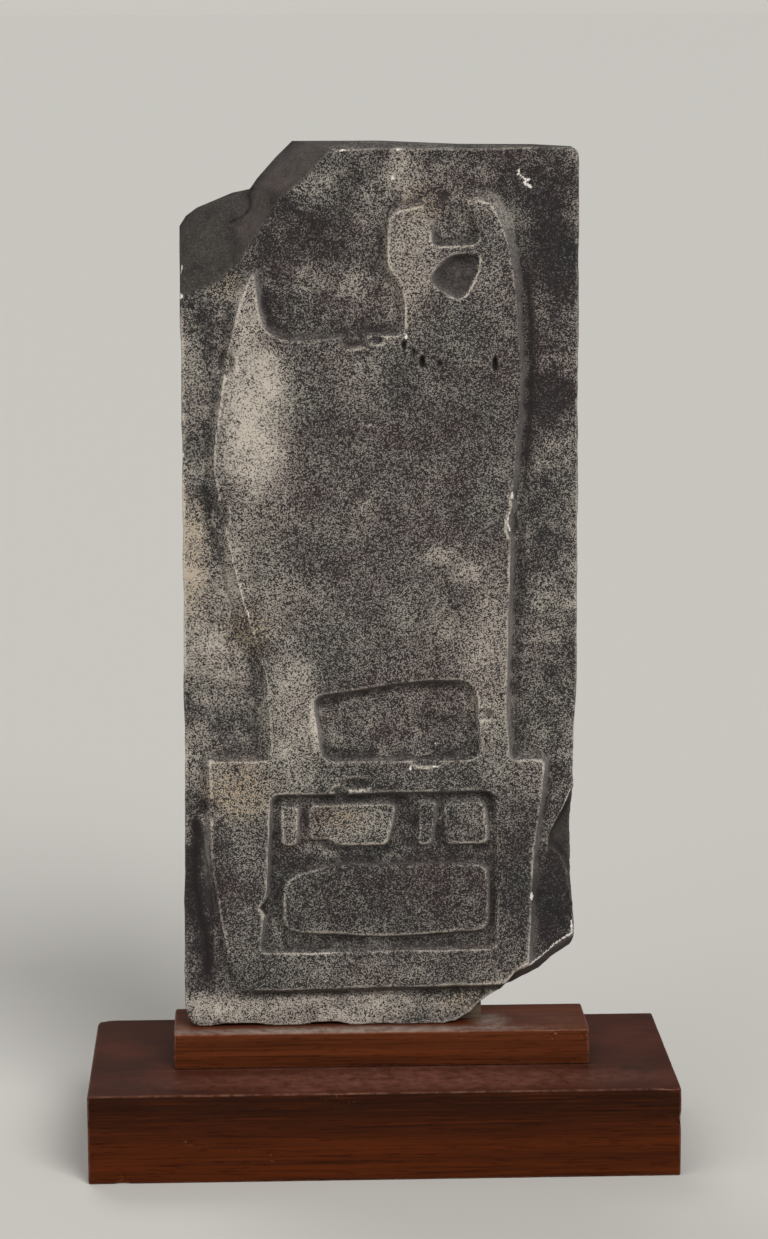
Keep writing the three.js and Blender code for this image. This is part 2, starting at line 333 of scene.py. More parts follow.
# Fresh white scratches and edges: half width, then the path across and up
FRESH_LINES = {
    "corner scratch top": (0.8, [(70.9, 446.8), (70.9, 444.5)]),
    "corner scratch link": (0.45, [(71.8, 443.8), (74.2, 442.4)]),
    "corner scratch": (0.8, [(76.2, 442.3), (74.7, 441.3), (74.1, 439.6)]),
    "corner scratch foot": (0.9, [(75.8, 439.4), (77, 438.1)]),
    "flank line": (0.5, [(-68.5, 223), (-67.3, 219.5)]),
    "right flank line": (0.5, [(66.6, 273), (65.6, 267), (67, 263)]),
    "flake edge": (0.6, [(91.4, 107.2), (93, 110.5), (95.1, 114.9), (97.2, 120.3), (99.2, 125.5)]),
    "lower right edge": (
        0.55, [(74.8, 30.3), (84.9, 35.7), (92.3, 42.4), (99, 47.1), (100.6, 49), (100.4, 55)],
    ),
}

# Bleached (above 0) and sooty (below 0) parts of the stone, with painted shade in the groove, at the
# frame's sides and over the breast: across, up, half width, half height, amount
STAINS = {
    "pale flank": (-65, 322, 19, 44, 0.55),
    "pale flank heart": (-67, 312, 13, 20, 0.15),
    "flank beside the basin": (-55, 345, 10, 12, 0.2),
    "horn": (-67, 376, 8, 20, 0.4),
    "waist": (-60, 266, 17, 26, 0.12),
    "waist edge": (-74, 244, 8, 24, 0.3),
    "thigh": (-50, 225, 18, 20, 0.18),
    "head": (16, 404, 14, 32, 0.34),
    "brow": (46, 392, 16, 10, 0.1),
    "right horn": (54, 431, 9, 7, 0.25),
    "above head": (12, 446, 12, 10, 0.34),
    "above head right": (34, 444, 10, 8, 0.15),
    "left edge": (-98, 258, 9, 34, 0.5),
    "left edge above": (-97, 342, 9, 28, 0.38),
    "left ground": (-88, 222, 15, 22, 0.25),
    "left ground low": (-86, 192, 16, 20, 0.34),
    "left ground foot": (-96, 150, 10, 16, 0.2),
    "left leg": (-45, 166, 15, 42, 0.36),
    "right leg": (58, 190, 12, 50, 0.26),
    "right thigh": (40, 205, 16, 18, 0.12),
    "frame shoulder": (-74, 130, 19, 14, 0.28),
    "frame right": (74, 134, 16, 14, 0.16),
    "foot": (-30, 9, 78, 10, 0.42),
    "foot corner": (-92, 9, 14, 11, 0.2),
    "sign": (-14, 108, 22, 11, 0.36),
    "first sign": (-47, 109, 6, 10, 0.18),
    "last sign": (44, 109, 12, 11, 0.15),
    "belly spot": (30, 250, 8, 6, 0.3),
    "belly spot right": (46, 240, 7, 6, 0.3),
    "belly spot left": (-10, 273, 7, 5, 0.2),
    "lower belly": (30, 222, 40, 22, 0.06),
    "basin hump": (-12, 389, 11, 8, 0.2),
    "basin hump left": (-35, 392, 9, 7, 0.08),
    "breast": (-8, 342, 12, 20, 0.12),
    "right ground": (89, 302, 12, 9, 0.22),
    "right ground top": (84, 380, 10, 6, 0.2),
    "right ground low": (88, 224, 10, 17, 0.16),
    "upper ground": (-30, 441, 15, 9, 0.2),
    "basin": (-38, 412, 23, 16, -0.2),
    "basin corner": (-52, 382, 8, 22, -0.14),
    "basin foot": (-20, 366, 30, 6, -0.1),
    "beside head": (89, 402, 13, 30, -0.44),
    "upper right": (78, 440, 24, 13, -0.22),
    "right strip": (87, 330, 13, 16, -0.36),
    # The groove and its foot are darkened as painted shade
    "groove": (-97, 84, 6, 36, -0.4),
    "groove foot": (-92.5, 46, 6, 26, -0.3),
    "groove side": (-90.6, 94, 4, 22, 0.3),
    "groove rim": (-100.2, 104, 3, 9, 0.3),
    "groove rim foot": (-101, 74, 4, 22, -0.25),
    "beside the break": (-47, 431, 9, 10, -0.12),
    "hollow": (91, 66, 11, 32, -0.45),
    "hollow edge": (96, 72, 5, 16, -0.2),
    "right shoulder": (64, 425, 7, 11, 0.24),
    "right ground mid": (88, 256, 11, 15, -0.14),
    "left spot": (-93, 277, 8, 10, -0.35),
    "left spot above": (-88, 365, 10, 12, -0.1),
    "left ground shade": (-74, 160, 15, 18, 0.04),
    "frame shade": (-84, 84, 8, 24, -0.2),
    "breast shade": (34, 322, 34, 36, -0.05),
    "panel": (4, 90, 62, 44, -0.1),
    "frame side shade": (71, 80, 9, 34, -0.15),
    "frame foot": (-5, 30, 74, 8, 0.08),
    "frame left": (-72, 100, 12, 24, 0.1),
}

# Ochre earth left in the grain: across, up, half width, half height, amount
OCHRE = {
    "frame shoulder": (-74, 128, 17, 15, 0.8),
    "sign": (-22, 113, 14, 6, 0.7),
    "foot": (44, 13, 12, 9, 0.6),
    "crown": (23, 432, 9, 9, 0.6),
    "ankle": (-68, 212, 12, 12, 0.7),
    "left edge": (-97, 248, 10, 34, 0.6),
    "horn foot": (-80, 392, 9, 8, 0.6),
}

# The boards in mm: how far their arrises are eased, the cells of their faces, and how deep the arrises wear
BOARD_EASE = 1.1
BOARD_CELL = 3.2
ARRIS_WEAR = 0.35
# How far an arris is turned from the faces, its wear on average and how pale it is rubbed away from knocks
ARRIS_TURN = (0.02, 0.2)
ARRIS_SHARE = 0.1
ARRIS_RUB = 0.6
# How far a face is turned up for dust to lie on it
TOP_TURN = (0.5, 0.9)
# How far the streaks of the wood sway its dark band up and down, in mm
BAND_SWAY = 26
# How far the peg's edges are broken, in mm
PEG_EASE = 0.4
# The floor in metres: half its level part, and the rise of its rim, which is FLOOR_SPREAD times as wide
FLOOR_HALF = 300
FLOOR_SPREAD = 2
FLOOR_RISE = 12

# Knocks on the boards: x, y, z, reach and depth, in mm from the middle of the plinth's underside
LOWER_KNOCKS = {
    "front corner": (148, -67, 47, 5, 1.2),
    "foot corner": (-135, -67.5, 1, 4, 1),
    "front bruise": (-100, -67.5, 22, 3, 0.4),
    "front dent": (-72, -67.5, 14, 3, 0.4),
    "front dent right": (-58, -67.5, 14, 3.5, 0.4),
    "right edge": (152, -67.5, 30, 4, 0.7),
    "top front edge": (-22, -67.5, 47, 7, 0.5),
    "back corner": (-151, 66, 46, 5, 0.9),
}
UPPER_KNOCKS = {
    "front edge": (43, -24, 66, 4, 0.8),
    "front edge right": (89, -24, 66, 6, 0.7),
    "right corner": (108, -24, 62, 4, 0.8),
    "left corner": (-108, -24, 64, 5, 0.6),
    "back edge": (-30, 24, 66, 6, 0.6),
}

# Dust on the upper sides of the boards: x, y, half width, half depth, amount
LOWER_DUST = {
    "front strip": (14, -46, 122, 18, 0.72),
    "front smear": (-42, -63, 16, 4, 0.4),
    "step foot": (0, -26, 112, 3, 0.4),
    "front right": (60, -60, 40, 6, 0.08),
}
UPPER_DUST = {
    "before the slab": (-18, -20, 90, 6, 0.9),
    "beside the peg": (58, -6, 9, 13, 0.55),
    "right end": (82, -10, 26, 20, 0.06),
    "left end": (-106, -16, 6, 10, 0.2),
}

# Places of the colour mix sockets: factor, the two colours, and the mixed colour
FACTOR, FIRST, SECOND, MIXED = 0, 6, 7, 2


def srgb(hex_colour):
    """A hex colour as the linear red, green, blue and alpha that the shaders take."""
    shares = [int(hex_colour[i:i + 2], 16) / 255 for i in (1, 3, 5)]
    return [s / 12.92 if s <= 0.04045 else ((s + 0.055) / 1.055) ** 2.4 for s in shares] + [1.0]


def per_mm(size):
    """The texture scale that makes a pattern this many millimetres across."""
    return 1 / (size * MM)


def add(tree, kind, sockets=None, **settings):
    """Adds a shader node with its settings, sets or links its sockets, and gives back its outputs."""
    made = tree.nodes.new("ShaderNode" + kind)
    for name, value in settings.items():
        setattr(made, name, value)
    for socket, value in (sockets or {}).items():
        if isinstance(value, bpy.types.NodeSocket):
            tree.links.new(value, made.inputs[socket])
        else:
            made.inputs[socket].default_value = value
    return made.outputs


def new_material(name):
    material = bpy.data.materials.new(name)
    material.use_nodes = True
    material.node_tree.nodes.clear()
    return material


# Materials

def weathered_marble():
    # Dark marble, cut by hand and long weathered: pale and dark grains like salt and pepper, bleached and
    # sooty patches, smooth dull walls painted paler where they face right as if lit, dirt and painted shade
    # in the hollows, thin pale rubbed edges and no shine
    material = new_material("hand_cut_weathered_marble")
    tree = material.node_tree
    place = add(tree, "TexCoord")["Object"]
    # The real grains are about 0.4 mm, drawn a little coarser so that they show
    crystals = add(tree, "TexVoronoi", {"Vector": place, "Scale": per_mm(0.48)})["Color"]
    grain_shares = add(tree, "SeparateColor", {"Color": crystals})
    grain = grain_shares["Red"]
    sockets = {"Vector": place, "Scale": per_mm(2.6), "Detail": 2, "Roughness": 0.6}
    clumps = add(tree, "TexNoise", sockets)["Fac"]
    sockets = {"Vector": place, "Scale": per_mm(17), "Detail": 4, "Roughness": 0.6}
    mottle = add(tree, "TexNoise", sockets)["Fac"]
    sockets = {"Vector": place, "Scale": per_mm(34), "Detail": 2, "Roughness": 0.5}
    veil = add(tree, "TexNoise", sockets)["Fac"]
    marks = {name: add(tree, "Attribute", attribute_name=name)["Fac"] for name in STONE_MARKS}

    # How pale the stone is, from its stains with the painted shade among them, and a fine mottle
    sockets = {"Value": mottle, "From Min": 0.3, "From Max": 0.7, "To Min": 0.16, "To Max": 0.42}
    mottled = add(tree, "MapRange", sockets)["Result"]
    rubbed = add(tree, "Math", {0: marks["worn"], 1: 0.7, 2: mottled}, operation="MULTIPLY_ADD")[0]
    paleness = add(tree, "Math", {0: marks["stains_and_shade"], 1: rubbed}, operation="ADD", use_clamp=True)[0]

    # Its grains lean to purple brown in some parts and to green grey in others
    tint = add(tree, "MapRange", {"Value": veil, "From Min": 0.36, "From Max": 0.64})["Result"]
    sockets = {FACTOR: tint, FIRST: srgb("#271f1e"), SECOND: srgb("#212120")}
    dark_grain = add(tree, "Mix", sockets, data_type="RGBA")[MIXED]
    sockets = {FACTOR: paleness, FIRST: dark_grain, SECOND: srgb("#2c2723")}
    dark_grain = add(tree, "Mix", sockets, data_type="RGBA")[MIXED]
    sockets = {"Value": grain_shares["Green"], "To Min": 0.45, "To Max": 1.5}
    shade = add(tree, "MapRange", sockets)["Result"]
    dark_grain = add(tree, "VectorMath", {0: dark_grain, "Scale": shade}, operation="SCALE")["Vector"]
    sockets = {FACTOR: tint, FIRST: srgb("#605556"), SECOND: srgb("#5b5b58")}
    pale_grain = add(tree, "Mix", sockets, data_type="RGBA")[MIXED]
    sockets = {FACTOR: paleness, FIRST: pale_grain, SECOND: srgb("#c0b6a9")}
    pale_grain = add(tree, "Mix", sockets, data_type="RGBA")[MIXED]
    sockets = {"Value": clumps, "From Min": 0.3, "From Max": 0.6, "To Max": marks["ochre"]}
    earth = add(tree, "MapRange", sockets)["Result"]
    sockets = {FACTOR: earth, FIRST: pale_grain, SECOND: srgb("#a8967b")}
    pale_grain = add(tree, "Mix", sockets, data_type="RGBA")[MIXED]

    # Where the stone is pale most grains are pale, where it is dark only a few are
    sockets = {"Value": clumps, "From Min": 0.3, "From Max": 0.7, "To Min": 0.0, "To Max": 0.24}
    chance = add(tree, "MapRange", sockets)["Result"]
    chance = add(tree, "Math", {0: paleness, 1: 0.72, 2: chance}, operation="MULTIPLY_ADD")[0]
    chance = add(tree, "Math", {0: chance, 1: grain}, operation="SUBTRACT")[0]
    is_pale = add(tree, "MapRange", {"Value": chance, "From Min": -0.09, "From Max": 0.09})["Result"]
    sockets = {FACTOR: is_pale, FIRST: dark_grain, SECOND: pale_grain}
    stone = add(tree, "Mix", sockets, data_type="RGBA")[MIXED]

    # Broken faces are plain and dark with a fine sparkle
    sockets = {"Vector": place, "Scale": per_mm(13), "Detail": 5, "Roughness": 0.65}
    flow = add(tree, "TexNoise", sockets)["Fac"]
    flow = add(tree, "MapRange", {"Value": flow, "From Min": 0.35, "From Max": 0.65})["Result"]
    sockets = {FACTOR: flow, FIRST: srgb("#27231f"), SECOND: srgb("#3a3531")}
    fracture = add(tree, "Mix", sockets, data_type="RGBA")[MIXED]
    sockets = {FACTOR: flow, FIRST: srgb("#3b3230"), SECOND: srgb("#5c504e")}
    facet_stone = add(tree, "Mix", sockets, data_type="RGBA")[MIXED]
    sockets = {FACTOR: marks["facet"], FIRST: fracture, SECOND: facet_stone}
    fracture = add(tree, "Mix", sockets, data_type="RGBA")[MIXED]
    sparkle = add(tree, "MapRange", {"Value": grain, "From Min": 0.55, "To Max": 0.4})["Result"]
    sockets = {FACTOR: sparkle, FIRST: fracture, SECOND: srgb("#6e6762")}
    fracture = add(tree, "Mix", sockets, data_type="RGBA")[MIXED]
    sockets = {FACTOR: marks["broken"], FIRST: stone, SECOND: fracture}
    stone = add(tree, "Mix", sockets, data_type="RGBA")[MIXED]

    # Carved walls are smooth and grey, painted paler where they face right as lit stone, and the groove's
    # smooth side is pale; dirt and painted shade darken their feet, the hollows, pits and cracks, and a
    # pale rubbed line runs along the top
    smear = add(tree, "MapRange", {"Value": clumps, "From Min": 0.3, "From Max": 0.7})["Result"]
    sockets = {FACTOR: smear, FIRST: srgb("#3d3735"), SECOND: srgb("#57504d")}
    wall_stone = add(tree, "Mix", sockets, data_type="RGBA")[MIXED]
    # Walls that face right are painted paler, as lit stone
    sockets = {FACTOR: paleness, FIRST: srgb("#4b4644"), SECOND: srgb("#8b8582")}
    lit_and_smooth_stone = add(tree, "Mix", sockets, data_type="RGBA")[MIXED]
    sockets = {FACTOR: marks["lit_and_smooth"], FIRST: wall_stone, SECOND: lit_and_smooth_stone}
    wall_stone = add(tree, "Mix", sockets, data_type="RGBA")[MIXED]
    cover = add(tree, "Math", {0: marks["wall"], 1: 0.68}, operation="MULTIPLY")[0]
    stone = add(tree, "Mix", {FACTOR: cover, FIRST: stone, SECOND: wall_stone}, data_type="RGBA")[MIXED]
    # Dirt and painted shade darken the hollows, pits, cracks, the eye and the feet of walls
    dirt_and_shade = add(tree, "Math", {0: marks["hollow"], 1: 0.8}, operation="MULTIPLY")[0]
    stone = add(tree, "Mix", {FACTOR: dirt_and_shade, FIRST: stone, SECOND: srgb("#181412")}, data_type="RGBA")[MIXED]
    sockets = {"Value": clumps, "From Min": 0.28, "From Max": 0.5, "To Max": marks["worn"]}
    rubbed = add(tree, "MapRange", sockets)["Result"]
    rubbed = add(tree, "Math", {0: rubbed, 1: 0.32}, operation="MULTIPLY")[0]
    sockets = {FACTOR: rubbed, FIRST: stone, SECOND: srgb("#cac1b3")}
    stone = add(tree, "Mix", sockets, data_type="RGBA")[MIXED]

    # Fresh chips are white with a ragged edge
    sockets = {"Vector": place, "Scale": per_mm(1.2), "Detail": 3, "Roughness": 0.7}
    ragged = add(tree, "TexNoise", sockets)["Fac"]
    ragged = add(tree, "Math", {0: ragged, 1: 2.2, 2: marks["fresh"]}, operation="MULTIPLY_ADD")[0]
    chip = add(tree, "MapRange", {"Value": ragged, "From Min": 1.6, "From Max": 1.8})["Result"]
    stone = add(tree, "Mix", {FACTOR: chip, FIRST: stone, SECOND: srgb("#e2dbd2")}, data_type="RGBA")[MIXED]

    # The skin is pecked and pitted, and the breaks are splintered
    sockets = {"Vector": place, "Scale": per_mm(0.9), "Detail": 1, "Roughness": 0.5}
    pecks = add(tree, "TexNoise", sockets)["Fac"]
    relief = add(tree, "Math", {0: pecks, 1: 0.6, 2: clumps}, operation="MULTIPLY_ADD")[0]
    sockets = {"Vector": place, "Scale": per_mm(5), "Detail": 4, "Roughness": 0.7}
    splinters = add(tree, "TexNoise", sockets)["Fac"]
    splinters = add(tree, "Math", {0: splinters, 1: marks["broken"]}, operation="MULTIPLY")[0]
    relief = add(tree, "Math", {0: splinters, 1: 4, 2: relief}, operation="MULTIPLY_ADD")[0]
    sockets = {"Strength": 0.5, "Distance": 0.4 * MM, "Height": relief}
    bump = add(tree, "Bump", sockets)["Normal"]
    sockets = {
        "Base Color": stone, "Roughness": 0.85, "IOR": 1.49, "Specular IOR Level": 0.35, "Normal": bump,
    }
    shader = add(tree, "BsdfPrincipled", sockets)["BSDF"]
    add(tree, "OutputMaterial", {"Surface": shader})
    return material


def waxed_mahogany(name, dark, brown, orange, dust_colour, pith, dark_band):
    # Mahogany, planed, stained and waxed: long brown and orange streaks, fine dark pores, a soft satin
    # gleam, a mauve bloom with a painted sheen and dust on the upper side and pale rubbed edges
    material = new_material(name)
    tree = material.node_tree
    place = add(tree, "TexCoord")["Object"]
    slant = (0, math.radians(-1.2), 0)
    sockets = {"Vector": place, "Rotation": slant, "Scale": (0.02, 1, 1)}
    along = add(tree, "Mapping", sockets)["Vector"]
    sockets = {"Vector": along, "Scale": per_mm(9), "Detail": 3, "Roughness": 0.6}
    streaks = add(tree, "TexNoise", sockets)["Fac"]
    sockets = {"Vector": along, "Scale": per_mm(1.3), "Detail": 3, "Roughness": 0.6}
    lines = add(tree, "TexNoise", sockets)["Fac"]
    sockets = {"Vector": place, "Rotation": slant, "Scale": (0.07, 1, 1)}
    short = add(tree, "Mapping", sockets)["Vector"]
    sockets = {"Vector": short, "Scale": per_mm(0.8), "Detail": 1}
    pores = add(tree, "TexNoise", sockets)["Fac"]
    # Growth rings about 9 mm apart round a pith outside the board
    sockets = {"Vector": place, "Location": [-p * MM for p in pith], "Scale": (0.06, 1, 1)}
    round_pith = add(tree, "Mapping", sockets)["Vector"]
    sockets = {
        "Vector": round_pith, "Scale": math.pi / 10 * per_mm(9), "Distortion": 2.2, "Detail": 2,
        "Detail Scale": 0.8,
    }
    rings = add(tree, "TexWave", sockets, wave_type="RINGS", rings_direction="X")["Fac"]

    # Streaks, with a dark band of heartwood and fine dark and orange lines
    mixed_streaks = add(tree, "Math", {0: rings, 1: 0.1, 2: streaks}, operation="MULTIPLY_ADD")[0]
    bright = add(tree, "MapRange", {"Value": mixed_streaks, "From Min": 0.42, "From Max": 0.7})["Result"]
    sockets = {FACTOR: bright, FIRST: srgb(brown), SECOND: srgb(orange)}
    wood = add(tree, "Mix", sockets, data_type="RGBA")[MIXED]
    height = add(tree, "SeparateXYZ", {"Vector": place})["Z"]
    height = add(tree, "Math", {0: streaks, 1: BAND_SWAY * MM, 2: height}, operation="MULTIPLY_ADD")[0]
    band_foot, band_top = [(edge + BAND_SWAY / 2) * MM for edge in dark_band]
    sockets = {"Value": height, "From Min": band_foot, "From Max": band_top, "To Max": 0.9}
    heart = add(tree, "MapRange", sockets)["Result"]
    wood = add(tree, "Mix", {FACTOR: heart, FIRST: wood, SECOND: srgb(dark)}, data_type="RGBA")[MIXED]
    sockets = {"Value": lines, "From Min": 0.5, "From Max": 0.7, "To Max": 0.6}
    dark_line = add(tree, "MapRange", sockets)["Result"]
    sockets = {FACTOR: dark_line, FIRST: wood, SECOND: srgb("#1f0d06")}
    wood = add(tree, "Mix", sockets, data_type="RGBA")[MIXED]
    sockets = {"Value": lines, "From Min": 0.46, "From Max": 0.3, "To Max": 0.45}
    light_line = add(tree, "MapRange", sockets)["Result"]
    sockets = {FACTOR: light_line, FIRST: wood, SECOND: srgb(orange)}
    wood = add(tree, "Mix", sockets, data_type="RGBA")[MIXED]
    sockets = {"Value": pores, "From Min": 0.58, "From Max": 0.7, "To Max": 0.45}
    pore = add(tree, "MapRange", sockets)["Result"]
    wood = add(tree, "Mix", {FACTOR: pore, FIRST: wood, SECOND: srgb("#150805")}, data_type="RGBA")[MIXED]

    # The upper side is painted a paler mauve brown, partly dulled by handling and partly a painted sheen of
    # light from above, and dust lies on it
    facing = add(tree, "SeparateXYZ", {"Vector": add(tree, "NewGeometry")["Normal"]})["Z"]
    upward = add(tree, "MapRange", {"Value": facing, "From Min": 0.6, "From Max": 0.95})["Result"]
    sockets = {"Vector": place, "Scale": per_mm(38), "Detail": 4, "Roughness": 0.6}
    film = add(tree, "TexNoise", sockets)["Fac"]
    sockets = {"Value": film, "From Min": 0.32, "From Max": 0.68, "To Min": 0.1, "To Max": 0.5}
    bloom_and_sheen = add(tree, "MapRange", sockets)["Result"]
    bloom_and_sheen = add(tree, "Math", {0: bloom_and_sheen, 1: upward}, operation="MULTIPLY")[0]
    wood = add(tree, "Mix", {FACTOR: bloom_and_sheen, FIRST: wood, SECOND: srgb("#613528")}, data_type="RGBA")[MIXED]
    sockets = {"Vector": place, "Scale": per_mm(6), "Detail": 5, "Roughness": 0.7}
    patchy = add(tree, "TexNoise", sockets)["Fac"]
    dusty = add(tree, "Attribute", attribute_name="dusty")["Fac"]
    sockets = {"Value": patchy, "From Min": 0.25, "From Max": 0.65, "To Min": 0, "To Max": dusty}
    dust = add(tree, "MapRange", sockets)["Result"]
    wood = add(tree, "Mix", {FACTOR: dust, FIRST: wood, SECOND: srgb(dust_colour)}, data_type="RGBA")[MIXED]

    # Rubbed edges, and small bright nicks that show the bare wood
    worn = add(tree, "Attribute", attribute_name="worn")["Fac"]
    sockets = {"Value": patchy, "From Min": 0.35, "From Max": 0.6, "To Min": 0, "To Max": worn}
    rubbed = add(tree, "MapRange", sockets)["Result"]
    wood = add(tree, "Mix", {FACTOR: rubbed, FIRST: wood, SECOND: srgb("#8d6250")}, data_type="RGBA")[MIXED]
    nicked = add(tree, "Attribute", attribute_name="nicked")["Fac"]
    sockets = {"Vector": place, "Scale": per_mm(2.4), "Detail": 2, "Roughness": 0.7}
    ticks = add(tree, "TexNoise", sockets)["Fac"]
    sockets = {"Value": ticks, "From Min": 0.6, "From Max": 0.66, "To Min": 0, "To Max": nicked}
    nick = add(tree, "MapRange", sockets)["Result"]
    wood = add(tree, "Mix", {FACTOR: nick, FIRST: wood, SECOND: srgb("#9a5a33")}, data_type="RGBA")[MIXED]

    relief = add(tree, "Math", {0: lines, 1: pores}, operation="SUBTRACT")[0]
    sockets = {"Strength": 0.2, "Distance": 0.2 * MM, "Height": relief}
    bump = add(tree, "Bump", sockets)["Normal"]
    sockets = {"Value": bloom_and_sheen, "To Min": 0.4, "To Max": 0.62}
    dullness = add(tree, "MapRange", sockets)["Result"]
    sockets = {"Base Color": wood, "Roughness": dullness, "Specular IOR Level": 0.05, "Normal": bump}
    shader = add(tree, "BsdfPrincipled", sockets)["BSDF"]
    add(tree, "OutputMaterial", {"Surface": shader})
    return material


def matt_floor_paint():
    # Pale paint, rolled on: even and matt
    material = new_material("rolled_matt_paint")
    tree = material.node_tree
    shader = add(tree, "BsdfPrincipled", {"Base Color": srgb("#cfccc6"), "Roughness": 0.9})["BSDF"]
    add(tree, "OutputMaterial", {"Surface": shader})
    return material


# Shaping

def new_piece(name, mesh, material):
    piece = bpy.data.objects.new(name, mesh)
    bpy.context.scene.collection.objects.link(piece)
    mesh.materials.clear()
    mesh.materials.append(material)
    return piece


def settle(piece):
    """Makes the piece's modifiers part of its mesh."""
    graph = bpy.context.evaluated_depsgraph_get()
    mesh = bpy.data.meshes.new_from_object(
        piece.evaluated_get(graph), preserve_all_data_layers=True, depsgraph=graph,
    )
    piece.modifiers.clear()
    piece.data = mesh


def mesh_from(bm, name):
    mesh = bpy.data.meshes.new(name)
    bm.to_mesh(mesh)
    bm.free()
    return mesh


def merged_copy(node):
    """A copy of a solid, its loose triangles joined."""
    bm = bmesh.new()
    bm.from_mesh(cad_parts[node].data)
    bmesh.ops.remove_doubles(bm, verts=bm.verts, dist=MERGE * MM)
    return bm


def points_of(mesh, what="co"):
    values = np.empty(len(mesh.vertices) * 3, np.float32)
    mesh.vertices.foreach_get(what, values)
    return values.reshape(-1, 3).astype(float)


def edges_of(mesh):
    ends = np.empty(len(mesh.edges) * 2, np.int32)
    mesh.edges.foreach_get("vertices", ends)
    return ends.reshape(-1, 2)


def set_points(mesh, points):
    mesh.vertices.foreach_set("co", points.astype(np.float32).ravel())
    mesh.update()


def keep(mesh, name, values):
    layer = mesh.attributes.new(name, "FLOAT", "POINT")
    layer.data.foreach_set("value", values.astype(np.float32))


def evened(points, edges, rounds):
    """The points after each has moved halfway to the middle of its neighbours, so many times."""
    start, end = edges.T
    count = np.maximum(np.bincount(edges.ravel(), minlength=len(points)), 1)
    for _ in range(rounds):
        middle = np.empty_like(points)
        for axis in range(3):
            near = np.bincount(start, points[end, axis], len(points))
            middle[:, axis] = (near + np.bincount(end, points[start, axis], len(points))) / count
        points = (points + middle) / 2
    return points


def humps(points, kinds):
    """Smooth random heights, the sum of humps of each kind."""
    heights = np.zeros(len(points))
    for height, size, seed in kinds:
        places = points / (size * MM) + seed * SEED_STEP
        heights += height * np.array([noise.noise(place) for place in places.tolist()])
    return heights


def smooth_step(values, low, high):
    share = np.clip((values - low) / (high - low), 0, 1)
    return share * share * (3 - 2 * share)


def spot(across, up, oval):
    """1 in the middle of an oval, about a third at its half width or height and 0 soon after."""
    x, z, half_width, half_height = oval
    away = ((across - x) / half_width) ** 2 + ((up - z) / half_height) ** 2
    return np.exp(-away * away)


def blotches(across, up, ovals):
    """Soft ovals added up, each as strong as its last value."""
    return sum(amount * spot(across, up, oval) for *oval, amount in ovals.values())


def away_from(across, up, path):
    """How far each place on the face is from a path of straight runs."""
    nearest = np.full(len(across), np.inf)
    for (x, z), (next_x, next_z) in zip(path, path[1:]):
        run_x, run_z = next_x - x, next_z - z
        share = np.clip(((across - x) * run_x + (up - z) * run_z) / (run_x ** 2 + run_z ** 2), 0, 1)
        nearest = np.minimum(nearest, np.hypot(across - x - share * run_x, up - z - share * run_z))
    return nearest


def streak(across, up, half_width, path):
    """1 along a path, about a third at its half width and 0 soon after."""
    return np.exp(-(away_from(across, up, path) / half_width) ** 2)


# The slab

def slab_places(points):
    """Across from the slab's middle, up from its foot and in from its face, in mm."""
    low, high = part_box("stele_slab")
    return points[:, 0] / MM, (points[:, 2] - low.z) / MM, (points[:, 1] - low.y) / MM


def soft_share(across, up):
    return np.clip(sum(spot(across, up, oval) for oval in SOFT_PARTS.values()), 0, 1)


def break_share(across, up, inward, normals):
    """How much of each point is on a break rather than on the carved or dressed stone."""
    left, right, bottom, top = LOWER_BREAK
    inside = (across > left) & (across < right) & (up > bottom) & (up < top) & (normals[:, 2] < DOWNWARD)
    lower = inside * smooth_step(inward - GROUND_DEPTH, *EDGE_BLEND)
    edge_x, edge_up = np.array(FLAKE_EDGE, float).T
    flake = smooth_step(across - np.interp(up, edge_up, edge_x), *EDGE_BLEND)
    flake *= (up > edge_up[0]) * (up < edge_up[-1]) * smooth_step(inward, FLAKE_DEPTH, BREAK_DEPTH)
    foot_x, foot_up = np.array(BREAK_LINE, float).T
    upper = smooth_step(up - np.interp(across, foot_x, foot_up), *BREAK_BLEND) * (across < foot_x[-1])
    return np.maximum.reduce([lower, flake, upper]) * (normals[:, 1] < FAR_BACKWARD)


def fill_flake(mesh):
    """Brings the stone beside the flake up to the ground or the hollow, as far as the flake's edge."""
    points = points_of(mesh)
    across, up, inward = slab_places(points)
    edge_x, edge_up = np.array(FLAKE_EDGE, float).T
    share = smooth_step(np.interp(up, edge_up, edge_x) - across, *EDGE_BLEND)
    share *= (across > edge_x.min() - FLAKE_MARGIN) * (up > edge_up[0]) * (up < edge_up[-1])
    share *= points_of(mesh, "normal")[:, 1] < BACKWARD
    level = GROUND_DEPTH + HOLLOW_DEPTH * (1 - smooth_step(up, *FLAKE_TIP))
    points[:, 1] -= share * np.clip(inward - level, 0, FLAKE_REACH) * MM
    set_points(mesh, points)


def softened(points, normals, edges):
    """Eases the foot of each carved wall, and wears some parts soft all over."""
    points = evened(points, edges, 1)
    eased = evened(points, edges, EASE_ROUNDS)
    sag = ((eased - points) * normals).sum(1) / MM
    points += (eased - points) * smooth_step(sag, *EASED_SAG)[:, None]
    across, up, inward = slab_places(points)
    soft = soft_share(across, up) * (inward < FINE_DEPTH)
    return points + (evened(eased, edges, SOFT_ROUNDS) - points) * soft[:, None]


def wear_slopes(points, across, up, inward, front):
    """Wears carved edges to longer slopes, and gives back how far in each point then is."""
    for reach, path in WORN_SLOPES.values():
        share = np.clip((away_from(across, up, path) - SLOPE_INSET) / reach, 0, 1)
        above = np.maximum(inward - GROUND_DEPTH * share, 0) * (share < 1)
        points[:, 1] -= front * above * (inward < BREAK_DEPTH) * MM
        inward = slab_places(points)[2]
    return inward


def raise_top(points, across, up, inward):
    """Lifts the top towards the back, most at its left end."""
    right_rise, left_rise = TOP_RISE
    lift = right_rise + (left_rise - right_rise) * smooth_step(-across, *TOP_SPAN)
    points[:, 2] += lift * smooth_step(up, *TOP_BAND) * smooth_step(inward, *TOP_DEPTH) * MM


